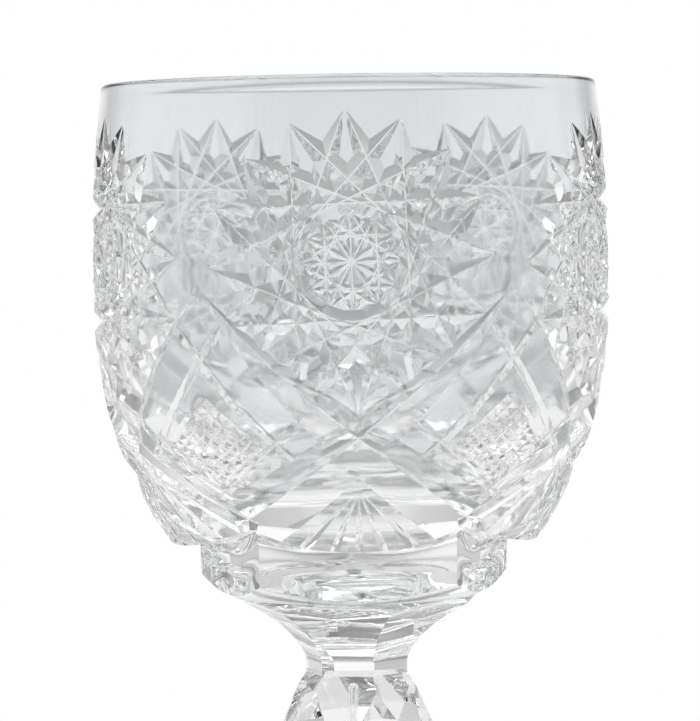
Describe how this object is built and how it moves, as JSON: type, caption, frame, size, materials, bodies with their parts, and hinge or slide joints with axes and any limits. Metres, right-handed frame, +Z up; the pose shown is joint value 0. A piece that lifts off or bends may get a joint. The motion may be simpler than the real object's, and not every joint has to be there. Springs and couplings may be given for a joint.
{
  "type": "cut glass goblet",
  "caption": "Stemmed drinking goblet of clear glass: a deep bowl cut with stars, crossed mitres and fans, on a fluted stem with a faceted knop and a round foot.",
  "frame": {"origin": "centre of the ring under the foot, on the surface that the goblet stands on", "axes": "+Z up along the goblet's axis, -Y through the middle of the collar flat under the star that faces the viewer"},
  "size_m": [0.0864, 0.0866, 0.1564],
  "materials": {
    "bowl_glass": "clear lead glass, fire-polished inside, cuts polished bright",
    "stem_glass": "clear lead glass, cut facets polished bright",
    "foot_glass": "clear lead glass, polished, with a ground resting ring"
  },
  "bodies": {
    "root": {"bowl": "bowl_glass", "stem": "stem_glass", "foot": "foot_glass"}
  },
  "joints": []
}
